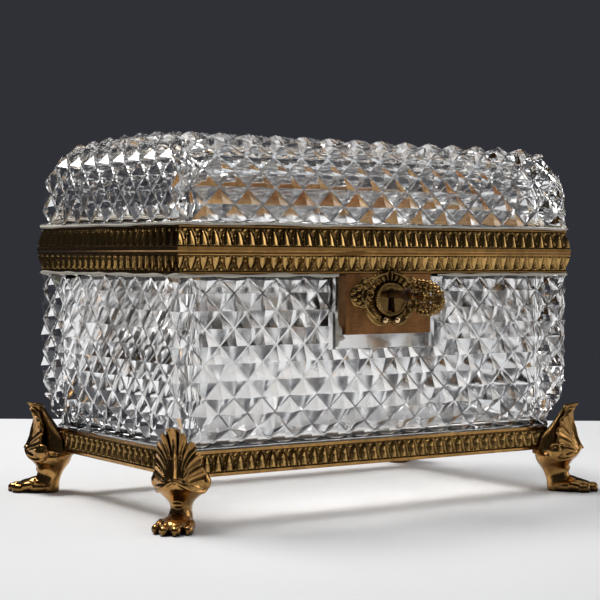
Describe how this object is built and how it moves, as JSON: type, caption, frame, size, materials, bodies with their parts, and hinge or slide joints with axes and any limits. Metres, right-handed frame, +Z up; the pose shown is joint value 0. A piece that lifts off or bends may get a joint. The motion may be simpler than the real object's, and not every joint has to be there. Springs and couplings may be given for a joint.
{
  "type": "casket",
  "caption": "Cut-crystal trinket casket with gilt brass rims, hinged domed lid, lion-paw feet, and a working front lock with its key.",
  "frame": {"origin": "on the table, under the middle of the whole object's footprint, with the key in the lock and the feet included", "axes": "+X along the casket's long side, to the viewer's right when facing the lock; -Y towards the viewer, out of the lock; +Z up"},
  "size_m": [0.2144, 0.1662, 0.1463],
  "materials": {
    "crystal": "clear cut lead crystal, polished facets, smooth inner walls",
    "gilt_brass": "antique gilt brass, cast and chased, dark patina in the hollows, worn bright on the high points",
    "dark_brass": "darkened plain brass strip, satin",
    "copper_brass": "coppery brown brass plate, satin with fine scratches",
    "steel": "old browned steel, satin",
    "plaster": "matt bedding plaster"
  },
  "bodies": {
    "casket": {"body_crystal": "crystal", "body_bedding": "plaster", "body_rim": "gilt_brass", "body_liner": "dark_brass", "base_frame": "gilt_brass", "base_bedding": "plaster", "foot_front_left": "gilt_brass", "foot_front_right": "gilt_brass", "foot_back_left": "gilt_brass", "foot_back_right": "gilt_brass", "foot_screws": "steel", "lock_case": "copper_brass", "lock_cover": "dark_brass", "lock_cover_screws": "steel", "lock_rivets": "dark_brass", "drill_pin": "steel", "bolt_spring": "steel", "escutcheon": "gilt_brass", "escutcheon_pins": "gilt_brass", "hinge_leaf_body": "dark_brass", "hinge_pin": "steel", "hinge_rivets_body": "gilt_brass"},
    "lid": {"hinge_leaf_lid": "dark_brass", "hinge_rivets_lid": "gilt_brass", "lid_rim": "gilt_brass", "lid_liner": "dark_brass", "lid_bedding": "plaster", "lid_crystal": "crystal", "lid_staple": "steel", "staple_screws": "steel"},
    "key": {"key_shank": "steel", "key_bow": "gilt_brass"},
    "bolt": {"lock_bolt": "steel"}
  },
  "joints": [
    {"name": "lid_hinge", "type": "hinge", "parent": "casket", "child": "lid", "pos_m": [0, 0.07311, 0.1], "axis": [-1, 0, 0], "range_deg": [0, 95]},
    {"name": "key_turn", "type": "hinge", "parent": "casket", "child": "key", "pos_m": [0, -0.04609, 0.084], "axis": [0, -1, 0], "range_deg": [0, 50]},
    {"name": "bolt_slide", "type": "slide", "parent": "casket", "child": "bolt", "axis": [1, 0, 0], "range_m": [0, 0.0046]}
  ],
  "couplings": [
    {"joint": "key_turn", "follows": "bolt_slide", "rad_per_m": 189.7}
  ]
}
